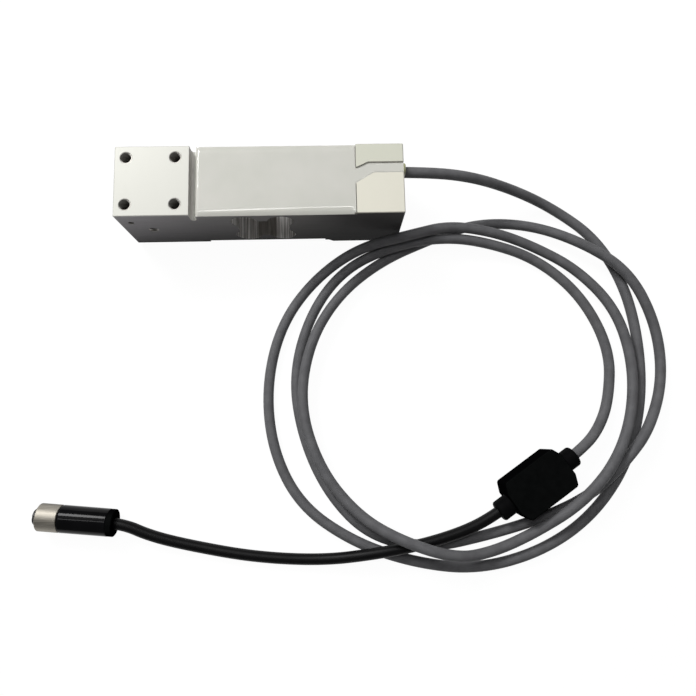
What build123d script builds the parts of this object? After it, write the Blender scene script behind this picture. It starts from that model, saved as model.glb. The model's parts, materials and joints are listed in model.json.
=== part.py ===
from build123d import *
import math
import os

# Strain gauge load cell: a single point bending beam with a grey signal cable,
# an in-line signal converter and a short black cable with a round connector.
# Millimetres. Origin under the middle of the beam, +Z up, +X to the cable end,
# +Y to the back. The foot stands on Z = 0.

# Beam
body_length = 150.0
body_width = 38.0
body_height = 44.0
foot_height = 2.5
foot_length = 37.4
foot_slope_run = 2.6
edge_break = 0.4

# Bending window, cut through the beam from front to back
flexure_thickness = 1.75
lobe_radius = 7.0
lobe_pitch_x = 19.2
window_width = 27.8
tongue_gap = 21.7

# Gauge recesses and the groove beside the load pad
recess_depth = 1.9
top_recess_end = 50.0
load_pad_length = 38.3
groove_width = 3.4
groove_depth = 7.4
bottom_recess_length = 66.0

# Cable channel and the funnel that leads into it
channel_width = 6.1
channel_y = 6.0
cable_depth = 7.0
cable_height = body_height - cable_depth
channel_start = 45.0
funnel_back_y = 6.1
funnel_back_end = 56.3
funnel_front_y = -2.6
funnel_front_end = 59.2

# Tapped holes
hole_spacing = 25.4
hole_end_inset = 6.0
hole_radius = 3.0
hole_depth = 14.0
hole_lead_in = 0.35
side_hole_x = -60.0
side_hole_radius = 2.5
side_hole_depth = 12.0
locating_hole_x = -68.7
locating_hole_z = 34.0
locating_hole_radius = 1.5
locating_hole_depth = 2.0
drill_point_share = 0.6

# Strain gauges
backing_length = 10.0
backing_width = 6.0
backing_thickness = 0.3
grid_length = 6.0
grid_line = 0.3
grid_pitch = 0.6
grid_lines = 8
grid_thickness = 0.15
tab_length = 1.6
tab_width = 1.4

# Sealing compound over the gauges
seal_thickness = 1.0
seal_edge_run = 3.0
seal_edge_drop = 0.85
exit_seal_bulge = 1.5
exit_seal_round = 1.1

# Compensation board
pocket_start = 26.0
pocket_width = 20.0
pocket_depth = 3.0
pocket_corner = 2.0
board_gap = 0.5
board_thickness = 1.0
resistor_length = 3.2
resistor_width = 1.6
resistor_height = 0.7
resistor_pitch = 4.2
resistor_count = 4
passage_x = 22.5
passage_radius = 2.0

# Wires
wire_radius = 0.25
wire_bend = 0.6
wire_lift = 0.1
wire_lane = 1.2
wire_spacing = 0.75
conductor_radius = 0.45
conductor_bend = 2.0
conductor_gap = 0.6
conductor_landing_gap = 1.1
conductor_slope_run = 1.6
board_landing_inset = 3.0

# Cables, each lying on the floor where its height is its own radius
grey_cable_radius = 2.9
black_cable_radius = 3.05
corner_share = 0.45
grey_low = grey_cable_radius
black_low = black_cable_radius
grey_points = [
    (60, channel_y, cable_height), (84, channel_y, cable_height), (112, 5.8, 31.5), (141, 4.8, 14.5),
    (167.3, -2.4, grey_low), (191, -21, grey_low), (206, -50, grey_low), (211, -84, grey_low),
    (209, -118, grey_low), (198, -151.2, grey_low), (176, -178.9, grey_low),
    (146.4, -196.8, grey_low), (111, -205, grey_low), (77, -200.4, grey_low), (45, -189, grey_low),
    (16.5, -169, grey_low), (1.7, -139, grey_low), (-1.5, -104, grey_low), (6.5, -70, grey_low),
    (25, -44, grey_low), (51, -26.7, 9.4), (81.2, -21.6, 16.5), (103.6, -15.3, 13),
    (130, -18.8, 10.2), (154, -26, 4.5), (178, -40, 4.5), (197, -64, 7.6), (204, -94, 8),
    (200.6, -124, 9), (186, -149.7, 16.4), (166, -170.2, 16.4), (143.5, -185.5, 7.6),
    (120.6, -195, 7.3), (97.7, -196.6, 17.4), (68.7, -186.7, 17.4), (47, -174, 10),
    (27.5, -149.5, 9.6), (17, -115, 8.3), (23, -80, 7.8), (40, -52.6, 6.2), (65.3, -32.4, grey_low),
    (94, -20.2, grey_low), (121, -10.7, grey_low), (153, -12.5, 3.8), (181, -26, 10),
    (206, -43.5, 10), (220.5, -73, 5.6), (222.5, -104, 3.4), (209.2, -132, 9.8),
    (193.7, -149.5, 10.7), (175.5, -167, 6.7), (148, -179.4, grey_low), (118, -187.2, grey_low),
    (86, -193.2, grey_low), (54, -186.5, grey_low), (31.7, -163, grey_low), (18, -131.5, grey_low),
    (13.5, -97, grey_low), (24, -62, grey_low), (43.5, -36.8, grey_low), (72, -25.4, 8.9),
    (99, -21.4, 10.2), (124, -23.4, 7.6), (155, -32.5, grey_low), (180, -55, grey_low),
    (194, -87, grey_low), (190.5, -116, 3.3), (181, -133, 7.2), (169.6, -143.3, 9),
    (158.8, -150.6, 9),
]
black_points = [
    (130.6, -169.6, 9), (119.8, -176.9, 9), (104, -184, 9.8), (82, -190, 10.2),
    (56, -194.2, 10.2), (28, -197.8, 3.4), (-8, -195.2, black_low), (-42, -188.4, black_low),
    (-63, -182.4, 5.6), (-77.5, -175.4, 7.25), (-90, -174.1, 7.25),
]

# Signal converter, its long axis from one cable end to the other, each end tapering to its cable
case_shoulder_length = 31.0
case_end_run = 2.6
case_end_margin = 1.4
case_width = 24.0
case_height = 18.0
case_wall = 1.6
case_corner = 2.0
case_edge = 0.8
boss_radius = 2.3
boss_inset = 3.6
case_screw_radius = 1.0
case_screw_length = 8.0
case_head_radius = 1.8
case_head_height = 1.4
screw_clearance = 0.1
rail_height = 2.4
rail_width = 1.6
converter_board_end_gap = 0.6
converter_board_thickness = 1.2
converter_board_gap = 0.2
chip_length = 6.0
chip_width = 5.0
chip_height = 1.6
regulator_length = 3.2
regulator_width = 2.6
capacitor_radius = 1.6
capacitor_height = 3.2
component_x = 4.5
component_edge_gap = 3.9
small_part_length = 1.2
small_part_width = 2.0
small_part_pitch = 2.6
small_part_start = 1.5
small_part_count = 3
lead_radius = 0.4
lead_pitch = 1.1
lead_landing_pitch = 2.4
lead_bend = 0.8
lead_gather_share = 0.45
grommet_radius = 5.75
grommet_length = 8.0
grommet_round = 1.5
grommet_neck_radius = 4.0
grommet_lip = 0.8
grommet_flange_thickness = 1.0
grommet_bore_radius = 1.9
grommet_clearance = 0.1

# Round connector at the end of the black cable, axis along the cable's last run
connector_radius = 7.25
connector_cable_depth = 8.75
rear_cap_length = 3.0
rear_cap_taper = 0.4
rear_cap_step = 0.1
cap_neck_length = 4.0
cap_neck_radius = 5.6
connector_body_length = 25.4
connector_wall = 1.4
connector_end_round = 0.6
ring_gap = 0.3
ring_length = 11.3
ring_wall = 1.25
ring_flange_thickness = 1.8
ring_flange_clearance = 0.4
ring_end_round = 0.6
insert_radius = 4.2
insert_protrusion = 2.4
insert_root_length = 6.0
insert_root_radius = 5.0
insert_collar_radius = 5.6
insert_collar_thickness = 1.2
insert_end_round = 0.3
keyway_width = 1.4
keyway_depth = 0.6
keyway_length = 8.0
socket_radius = 0.8
socket_bore_radius = 0.5
socket_circle_radius = 2.5
socket_depth = 9.0
socket_recess = 0.3
o_ring_radius = 0.55
o_ring_gap = 0.05
clamp_length = 4.0
clamp_clearance = 0.1

# Places worked out from the sizes above
body_end = body_length / 2
body_side = body_width / 2
beam_mid_z = (foot_height + body_height) / 2
top_floor = body_height - recess_depth
bottom_floor = foot_height + recess_depth
groove_right = load_pad_length + groove_width - body_end
lobe_top_z = top_floor - flexure_thickness - lobe_radius
lobe_bottom_z = bottom_floor + flexure_thickness + lobe_radius
gauge_x = lobe_pitch_x / 2
pocket_end = channel_start
board_bottom = top_floor - pocket_depth
board_top = board_bottom + board_thickness
channel_front = channel_y - channel_width / 2
channel_back = channel_y + channel_width / 2
conductor_pitch = conductor_radius * 2 + conductor_gap
conductor_landing_pitch = conductor_radius * 2 + conductor_landing_gap

case_axis_z = grey_points[-1][2]
case_length = case_shoulder_length + case_end_run * 2
case_inner_half_width = case_width / 2 - case_wall
grommet_flange_radius = grommet_neck_radius + grommet_lip
case_end_half_width = grommet_flange_radius + case_end_margin
boss_x = case_shoulder_length / 2 - boss_inset
boss_y = case_width / 2 - boss_inset
boss_places = [(i * boss_x, j * boss_y) for i in (-1, 1) for j in (-1, 1)]
converter_board_length = (boss_x - boss_radius - converter_board_end_gap) * 2
converter_board_z = case_wall + rail_height
converter_board_top = converter_board_z + converter_board_thickness

body_front = rear_cap_length + connector_body_length
ring_back = body_front + ring_gap
ring_front = ring_back + ring_length
ring_flange_bore = insert_radius + ring_flange_clearance
insert_front = ring_front + insert_protrusion
insert_back = body_front - insert_root_length
collar_back = ring_back + ring_flange_thickness + ring_gap
collar_front = collar_back + insert_collar_thickness
body_bore = connector_radius - connector_wall


def direction(start, end):
    return (Vector(*end) - Vector(*start)).normalized()


def cord_radii(points):
    radii = []
    for before, corner, after in zip(points, points[1:], points[2:]):
        run_in = Vector(*corner) - Vector(*before)
        run_out = Vector(*after) - Vector(*corner)
        half_turn = math.radians(run_in.get_angle(run_out)) / 2
        shorter = min(run_in.length, run_out.length)
        radii.append(corner_share * shorter / math.tan(half_turn))
    return radii


def tube(points, radius, bends):
    route = FilletPolyline(*points, radius=bends)
    section = Plane(origin=route @ 0, z_dir=route % 0) * Circle(radius)
    return sweep(section, path=route)


def wire(points, radius=wire_radius, bend=wire_bend):
    return tube(points, radius, [bend] * (len(points) - 2))


def turned(profile):
    face = Plane.XZ * Polygon(*profile, align=None)
    return revolve(face, axis=Axis.Z)


def tapped_hole(radius, depth):
    point = radius * drill_point_share
    mouth = radius + hole_lead_in
    return turned([
        (0, hole_lead_in), (mouth + hole_lead_in, hole_lead_in), (radius, -hole_lead_in),
        (radius, -depth), (0, -depth - point),
    ])


def hole_pattern(cutter, centre_x, z):
    half = hole_spacing / 2
    corners = [(centre_x + i * half, j * half, z) for i in (-1, 1) for j in (-1, 1)]
    return [Pos(*corner) * cutter for corner in corners]


def beam_blank():
    left = -body_end
    foot_start = body_end - foot_length
    outline = Polygon(
        (left, foot_height), (foot_start - foot_slope_run, foot_height), (foot_start, 0),
        (body_end, 0), (body_end, body_height), (left, body_height), align=None,
    )
    bar = extrude(Plane.XZ * outline, amount=body_side, both=True)
    corners = bar.edges().filter_by(Axis.Z).sort_by(Axis.X)
    bar = chamfer(corners[:2] + corners[-2:], edge_break)
    return chamfer(bar.faces().sort_by(Axis.Z)[-1].edges(), edge_break)


def window():
    gap = Pos(0, beam_mid_z) * Rectangle(window_width, tongue_gap)
    lobes = [
        Pos(i * lobe_pitch_x / 2, z) * Circle(lobe_radius)
        for i in (-1, 1) for z in (lobe_bottom_z, lobe_top_z)
    ]
    return extrude(Plane.XZ * (gap + lobes), amount=body_width, both=True)


def recess_outline():
    side = body_width
    return Polygon(
        (groove_right, -side), (top_recess_end, -side), (top_recess_end, funnel_front_y),
        (funnel_front_end, channel_front), (body_end, channel_front),
        (body_end, channel_back), (funnel_back_end, channel_back),
        (top_recess_end, funnel_back_y), (top_recess_end, side), (groove_right, side),
        align=None,
    )


def channel_space(end_x):
    height = body_height - cable_height
    section = Pos(channel_y, cable_height + height / 2) * Rectangle(channel_width, height)
    section += Pos(channel_y, cable_height) * Circle(channel_width / 2)
    run = extrude(Plane.YZ * section, amount=end_x - channel_start)
    return Pos(channel_start, 0, 0) * run


def pocket_space():
    length = pocket_end - pocket_start + pocket_corner
    block = Box(length, pocket_width, pocket_depth, align=(Align.MIN, Align.CENTER, Align.MIN))
    block = fillet(block.edges().filter_by(Axis.Z), pocket_corner)
    return Pos(pocket_start, 0, board_bottom) * block


def groove():
    straight = groove_depth - groove_width / 2
    section = Pos(0, body_height - straight / 2) * Rectangle(groove_width, straight)
    section += Pos(0, body_height - straight) * Circle(groove_width / 2)
    cut = extrude(Plane.XZ * section, amount=body_width, both=True)
    return Pos(groove_right - groove_width / 2, 0, 0) * cut


def spring_body():
    body = beam_blank()
    body -= window()
    body -= extrude(Pos(0, 0, top_floor) * recess_outline(), amount=recess_depth * 2)
    body -= groove()
    body -= channel_space(body_end)
    body -= pocket_space()
    bottom = Box(bottom_recess_length, body_width * 2, recess_depth * 2)
    body -= Pos(0, 0, bottom_floor - recess_depth) * bottom
    body -= Pos(passage_x, 0, beam_mid_z) * Cylinder(passage_radius, body_height)
    centre_x = body_end - hole_end_inset - hole_spacing / 2
    body -= hole_pattern(tapped_hole(hole_radius, hole_depth), -centre_x, body_height)
    body -= hole_pattern(Rot(180, 0, 0) * tapped_hole(hole_radius, hole_depth), centre_x, 0)
    front = Rot(90, 0, 0)
    side_hole = front * tapped_hole(side_hole_radius, side_hole_depth)
    body -= Pos(side_hole_x, -body_side, beam_mid_z) * side_hole
    locating_hole = front * tapped_hole(locating_hole_radius, locating_hole_depth)
    body -= Pos(locating_hole_x, -body_side, locating_hole_z) * locating_hole
    return body


def gauge_backing():
    return Box(
        backing_length, backing_width, backing_thickness,
        align=(Align.CENTER, Align.CENTER, Align.MIN),
    )


def gauge_grid():
    width = grid_pitch * (grid_lines - 1)
    half = grid_length / 2
    shape = Sketch()
    for i in range(grid_lines):
        y = i * grid_pitch - width / 2
        shape += Pos(0, y) * Rectangle(grid_length, grid_line)
    for i in range(grid_lines - 1):
        y = (i + 0.5) * grid_pitch - width / 2
        end = half if i % 2 else -half
        shape += Pos(end, y) * Rectangle(grid_line, grid_pitch + grid_line)
    for side in (-1, 1):
        y = side * width / 2
        shape += Pos(half + tab_length / 2, y) * Rectangle(tab_length, tab_width)
    return Pos(0, 0, backing_thickness) * extrude(shape, amount=grid_thickness)


def gauge_places():
    over = Rot(180, 0, 0)
    return {
        "top_left": Pos(-gauge_x, 0, top_floor),
        "top_right": Pos(gauge_x, 0, top_floor),
        "bottom_left": Pos(-gauge_x, 0, bottom_floor) * over,
        "bottom_right": Pos(gauge_x, 0, bottom_floor) * over,
    }


def gauge_envelope():
    height = backing_thickness + grid_thickness
    align = (Align.CENTER, Align.CENTER, Align.MIN)
    return Box(backing_length, backing_width, height, align=align)


def seal_section(top, base):
    flat = body_side - seal_edge_run
    arc_radius = (seal_edge_run ** 2 + seal_edge_drop ** 2) / (2 * seal_edge_drop)
    centre_z = top - arc_radius
    half_angle = math.asin(seal_edge_run / arc_radius) / 2
    middle_y = flat + arc_radius * math.sin(half_angle)
    middle_z = centre_z + arc_radius * math.cos(half_angle)
    low = top - seal_edge_drop
    back = ThreePointArc((flat, top), (middle_y, middle_z), (body_side, low))
    front = ThreePointArc((-body_side, low), (-middle_y, middle_z), (-flat, top))
    rest = [
        Line((-flat, top), (flat, top)), Line((body_side, low), (body_side, base)),
        Line((body_side, base), (-body_side, base)), Line((-body_side, base), (-body_side, low)),
    ]
    return Plane.YZ * make_face(back + front + rest)


def board():
    length = pocket_end - pocket_start - board_gap * 2
    width = pocket_width - board_gap * 2
    block = Box(length, width, board_thickness, align=(Align.MIN, Align.CENTER, Align.MIN))
    block = fillet(block.edges().filter_by(Axis.Z), pocket_corner)
    return Pos(pocket_start + board_gap, 0, board_bottom) * block


def trim_resistors():
    middle = (pocket_start + pocket_end) / 2
    chip = Box(
        resistor_length, resistor_width, resistor_height,
        align=(Align.CENTER, Align.CENTER, Align.MIN),
    )
    first = -resistor_pitch * (resistor_count - 1) / 2
    places = [Pos(middle, first + i * resistor_pitch, board_top) for i in range(resistor_count)]
    return Compound([place * chip for place in places])


def tab_lane():
    return grid_pitch * (grid_lines - 1) / 2


def outer_lane():
    return backing_width / 2 + wire_lane


def board_landing(y):
    run_z = top_floor + wire_radius + wire_lift
    pad_z = board_top + wire_radius
    land_x = pocket_start + board_landing_inset
    return [
        (pocket_start + board_gap * 2, y, run_z), (land_x, y, pad_z),
        (land_x + board_landing_inset / 2, y, pad_z),
    ]


def gauge_lead(centre_x, side, lane_y, z):
    x = centre_x + backing_length / 2 + wire_radius
    start = [(x, side * tab_lane(), z)]
    if lane_y != side * tab_lane():
        start.append((x + wire_bend * 3, lane_y, z))
    return start


def top_bridge_wires():
    z = top_floor + wire_radius + wire_lift
    wires = []
    for centre_x, lane in ((-gauge_x, outer_lane()), (gauge_x, tab_lane())):
        for side in (-1, 1):
            start = gauge_lead(centre_x, side, side * lane, z)
            wires.append(wire(start + board_landing(side * lane)))
    return Compound(wires)


def bottom_bridge_wires():
    low_z = bottom_floor - wire_radius - wire_lift
    high_z = top_floor + wire_radius + wire_lift
    turn_x = gauge_x + backing_length / 2 + wire_bend * 3
    starts = [
        (-gauge_x, -1, -outer_lane()), (gauge_x, -1, -tab_lane()),
        (gauge_x, 1, tab_lane()), (-gauge_x, 1, outer_lane()),
    ]
    wires = []
    for i, (centre_x, side, lane_y) in enumerate(starts):
        up_y = (i - (len(starts) - 1) / 2) * wire_spacing
        path = gauge_lead(centre_x, side, lane_y, low_z) + [
            (turn_x, lane_y, low_z), (passage_x, up_y, low_z), (passage_x, up_y, high_z),
        ]
        wires.append(wire(path + board_landing(up_y)))
    return Compound(wires)


def conductor(index):
    across = (-1, -1, 1, 1)[index] * conductor_pitch / 2
    upright = (-1, 1, -1, 1)[index] * conductor_pitch / 2
    landing_y = channel_y + (index - 1.5) * conductor_landing_pitch
    start_x = grey_points[0][0]
    pad_z = board_top + conductor_radius
    top_x = pocket_end - board_gap
    top_z = pad_z + conductor_radius
    foot_x = top_x + (top_z - cable_height) * conductor_slope_run
    path = [
        (start_x, channel_y + across, cable_height + upright),
        (foot_x, channel_y + across, cable_height + upright),
        (top_x, landing_y, top_z), (pocket_end - board_landing_inset, landing_y, pad_z),
    ]
    return wire(path, conductor_radius, conductor_bend)


def grey_cable():
    return tube(grey_points, grey_cable_radius, cord_radii(grey_points))


def black_cable():
    return tube(black_points, black_cable_radius, cord_radii(black_points))


def top_sealant(inner):
    whole = extrude(seal_section(top_floor + seal_thickness, board_bottom), amount=body_length)
    whole = Pos(groove_right, 0, 0) * whole
    cover = extrude(Pos(0, 0, top_floor) * recess_outline(), amount=recess_depth)
    fill = whole & (cover + channel_space(body_end) + pocket_space())
    deep = channel_space(body_end) & Pos(0, 0, board_bottom) * Box(
        body_length * 2, body_width, body_height, align=(Align.CENTER, Align.CENTER, Align.MAX)
    )
    fill += deep
    for piece in inner:
        fill -= piece
    return fill


def bottom_sealant(inner):
    section = seal_section(seal_thickness, 0)
    pad = extrude(section, amount=bottom_recess_length / 2, both=True)
    pad = Pos(0, 0, bottom_floor) * Rot(180, 0, 0) * pad
    for piece in inner:
        pad -= piece
    return pad


def exit_seal(cable):
    low = cable_height - channel_width / 2
    high = top_floor + seal_thickness
    blob = Box(
        exit_seal_bulge, channel_width, high - low,
        align=(Align.MIN, Align.CENTER, Align.MIN),
    )
    rim = blob.faces().sort_by(Axis.X)[-1].edges()
    blob = fillet(rim, exit_seal_round)
    return Pos(body_end, channel_y, low) * blob - cable


def converter_place():
    near = Vector(*black_points[0])
    far = Vector(*grey_points[-1])
    middle = (near + far) / 2
    angle = math.degrees(math.atan2(far.Y - near.Y, far.X - near.X))
    return Pos(middle.X, middle.Y, 0) * Rot(0, 0, angle)


def case_outline():
    end = case_length / 2
    shoulder = case_shoulder_length / 2
    side = case_width / 2
    half = [(shoulder, -side), (end, -case_end_half_width), (end, case_end_half_width), (shoulder, side)]
    corners = half + [(-x, -y) for x, y in half]
    outline = Polygon(*corners, align=None)
    return fillet(outline.vertices(), case_corner)


def case_half(bottom, top, round_face):
    height = top - bottom
    align = (Align.CENTER, Align.CENTER, Align.MIN)
    shell = extrude(Pos(0, 0, bottom) * case_outline(), amount=height)
    shell = fillet(shell.faces().sort_by(Axis.Z)[round_face].edges(), case_edge)
    shift = case_wall if round_face == 0 else -case_wall
    room = offset(case_outline(), amount=-case_wall)
    shell -= extrude(Pos(0, 0, bottom + shift) * room, amount=height)
    for x, y in boss_places:
        shell += Pos(x, y, bottom) * Cylinder(boss_radius, height, align=align)
    opening = Rot(0, 90, 0) * Cylinder(grommet_neck_radius, case_length * 2)
    return shell - Pos(0, 0, case_axis_z) * opening


def converter_case_lower():
    shell = case_half(0, case_axis_z, 0)
    rail = Box(
        converter_board_length, rail_width, rail_height,
        align=(Align.CENTER, Align.MAX, Align.MIN),
    )
    rail = Pos(0, case_inner_half_width, case_wall) * rail
    shell += [rail, Rot(0, 0, 180) * rail]
    for x, y in boss_places:
        shell -= Pos(x, y, 0) * turned([
            (0, -1), (case_head_radius + screw_clearance, -1),
            (case_head_radius + screw_clearance, case_head_height),
            (case_screw_radius + screw_clearance, case_head_height),
            (case_screw_radius + screw_clearance, case_height), (0, case_height),
        ])
    return shell


def converter_case_upper():
    shell = case_half(case_axis_z, case_height, -1)
    depth = case_head_height + case_screw_length + screw_clearance
    for x, y in boss_places:
        hole = Cylinder(case_screw_radius + screw_clearance, depth, align=(
            Align.CENTER, Align.CENTER, Align.MIN))
        shell -= Pos(x, y, 0) * hole
    return shell


def case_screws():
    socket = case_head_radius * 0.5
    screw = turned([
        (0, socket), (socket, socket), (socket, 0), (case_head_radius, 0),
        (case_head_radius, case_head_height),
        (case_screw_radius, case_head_height),
        (case_screw_radius, case_head_height + case_screw_length),
        (0, case_head_height + case_screw_length),
    ])
    return Compound([Pos(x, y, 0) * screw for x, y in boss_places])


def converter_board():
    width = 2 * (case_inner_half_width - converter_board_gap)
    return Pos(0, 0, converter_board_z) * Box(
        converter_board_length, width, converter_board_thickness,
        align=(Align.CENTER, Align.CENTER, Align.MIN),
    )


def board_components():
    align = (Align.CENTER, Align.CENTER, Align.MIN)
    row_y = case_inner_half_width - component_edge_gap
    chip = Box(chip_length, chip_width, chip_height, align=align)
    regulator = Box(regulator_length, regulator_width, chip_height, align=align)
    capacitor = Cylinder(capacitor_radius, capacitor_height, align=align)
    small_part = Box(small_part_length, small_part_width, resistor_height, align=align)
    pieces = [
        chip, Pos(-component_x, row_y) * capacitor, Pos(component_x, row_y) * capacitor,
        Pos(-component_x, -row_y) * regulator,
    ]
    for i in range(small_part_count):
        pieces.append(Pos(small_part_start + i * small_part_pitch, -row_y) * small_part)
    return Compound([Pos(0, 0, converter_board_top) * piece for piece in pieces])


def cable_end_distance():
    return (Vector(*grey_points[-1]) - Vector(*black_points[0])).length / 2


def grommet(cable_radius):
    wall_face = case_length / 2
    inside = wall_face - case_wall
    cable_end = cable_end_distance() - grommet_clearance
    outer_end = wall_face + grommet_length
    mouth = cable_radius + grommet_clearance
    profile = [
        (grommet_bore_radius, inside - grommet_flange_thickness),
        (grommet_flange_radius, inside - grommet_flange_thickness),
        (grommet_flange_radius, inside), (grommet_neck_radius, inside),
        (grommet_neck_radius, wall_face), (grommet_radius, wall_face),
        (grommet_radius, outer_end), (mouth, outer_end),
        (mouth, cable_end), (grommet_bore_radius, cable_end),
    ]
    collar = turned(profile)
    rim = collar.edges().filter_by(GeomType.CIRCLE).sort_by(Axis.Z)[-2:]
    outer = rim.sort_by(lambda edge: edge.radius)[-1]
    collar = fillet(outer, grommet_round)
    return Pos(0, 0, case_axis_z) * Rot(0, 90, 0) * collar


def converter_leads():
    cable_end = cable_end_distance()
    half = lead_pitch / 2
    pad_z = converter_board_top + lead_radius
    land_x = converter_board_length / 2 - lead_landing_pitch
    inside = case_length / 2 - case_wall - grommet_flange_thickness
    leads = []
    for i in range(4):
        y = (-1, 1, -1, 1)[i] * half
        z = case_axis_z + (-1, -1, 1, 1)[i] * half
        landing_y = (-1.5, 0.5, -0.5, 1.5)[i] * lead_landing_pitch
        path = [
            (cable_end, y, z), (inside - lead_bend, y, z),
            (land_x + lead_bend * 2, landing_y, pad_z + lead_radius), (land_x, landing_y, pad_z),
        ]
        leads.append(wire(path, lead_radius, lead_bend))
    return Compound(leads)


def connector_place():
    """The connector's own axis runs from its rear face at 0 to its mating face."""
    axis = direction(black_points[-2], black_points[-1])
    rear = Vector(*black_points[-1]) - axis * connector_cable_depth
    return Location(Plane(origin=rear, x_dir=(0, 0, 1), z_dir=axis))


def connector_rear_cap():
    bore = black_cable_radius + clamp_clearance
    outer = connector_radius - rear_cap_step
    return turned([
        (bore, 0), (outer - rear_cap_taper, 0), (outer, rear_cap_taper), (outer, rear_cap_length),
        (cap_neck_radius, rear_cap_length), (cap_neck_radius, rear_cap_length + cap_neck_length),
        (cap_neck_radius - connector_wall, rear_cap_length + cap_neck_length),
        (cap_neck_radius - connector_wall, rear_cap_length - rear_cap_taper),
        (bore, rear_cap_length - rear_cap_taper),
    ])


def connector_body():
    shell = turned([
        (body_bore, rear_cap_length), (connector_radius, rear_cap_length),
        (connector_radius, body_front), (insert_root_radius, body_front),
        (insert_root_radius, insert_back), (body_bore, insert_back),
    ])
    rims = shell.edges().filter_by(GeomType.CIRCLE).sort_by(lambda edge: edge.radius)[-3:]
    ends = rims.sort_by(Axis.Z)
    return fillet([ends[0], ends[-1]], connector_end_round)


def coupling_ring():
    outer = connector_radius
    thread = outer - ring_wall
    profile = turned([
        (ring_flange_bore, ring_back), (outer, ring_back), (outer, ring_front),
        (thread, ring_front), (thread, ring_back + ring_flange_thickness),
        (ring_flange_bore, ring_back + ring_flange_thickness),
    ])
    rims = profile.edges().filter_by(GeomType.CIRCLE).sort_by(lambda edge: edge.radius)[-3:]
    ends = rims.sort_by(Axis.Z)
    return fillet([ends[0], ends[-1]], ring_end_round)


def contact_insert():
    insert = turned([
        (0, insert_back), (insert_root_radius, insert_back), (insert_root_radius, body_front),
        (insert_radius, body_front), (insert_radius, collar_back),
        (insert_collar_radius, collar_back), (insert_collar_radius, collar_front),
        (insert_radius, collar_front), (insert_radius, insert_front), (0, insert_front),
    ])
    insert = chamfer(insert.faces().sort_by(Axis.Z)[-1].edges(), insert_end_round)
    slot = Box(keyway_depth * 2, keyway_width, keyway_length, align=(
        Align.CENTER, Align.CENTER, Align.MAX))
    insert -= Pos(insert_radius, 0, insert_front) * slot
    for place in socket_places():
        insert -= place * Cylinder(socket_radius, insert_front - insert_back, align=(
            Align.CENTER, Align.CENTER, Align.MAX))
    return insert


def socket_places():
    places = [Pos(0, 0, insert_front)]
    for i in range(4):
        angle = math.radians(45 + 90 * i)
        x = socket_circle_radius * math.cos(angle)
        y = socket_circle_radius * math.sin(angle)
        places.append(Pos(x, y, insert_front))
    return places


def contact_sockets():
    length = insert_front - insert_back - socket_recess
    bottom = (Align.CENTER, Align.CENTER, Align.MAX)
    socket = Cylinder(socket_radius, length, align=bottom)
    socket -= Cylinder(socket_bore_radius, socket_depth, align=bottom)
    return Compound([place * Pos(0, 0, -socket_recess) * socket for place in socket_places()])


def o_ring():
    seat = o_ring_radius + o_ring_gap
    return Pos(0, 0, collar_front + seat) * Torus(insert_radius + seat, o_ring_radius)


def cable_clamp():
    start = connector_cable_depth - clamp_length
    outer = cap_neck_radius - connector_wall - clamp_clearance
    return Pos(0, 0, start) * (
        Cylinder(outer, clamp_length, align=(Align.CENTER, Align.CENTER, Align.MIN))
        - Cylinder(black_cable_radius, clamp_length, align=(Align.CENTER, Align.CENTER, Align.MIN))
    )


def connector_leads():
    leads = []
    for i, place in enumerate(socket_places()):
        x, y = place.position.X, place.position.Y
        near_x, near_y = x * lead_gather_share, y * lead_gather_share
        path = [
            (near_x, near_y, connector_cable_depth),
            (near_x, near_y, connector_cable_depth + lead_bend * 2),
            (x, y, insert_back - lead_bend * 2), (x, y, insert_back),
        ]
        if x == 0 and y == 0:
            lead = Pos(0, 0, connector_cable_depth) * Cylinder(
                lead_radius, insert_back - connector_cable_depth,
                align=(Align.CENTER, Align.CENTER, Align.MIN))
        else:
            lead = wire(path, lead_radius, lead_bend)
        leads.append(lead)
    return Compound(leads)


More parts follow.
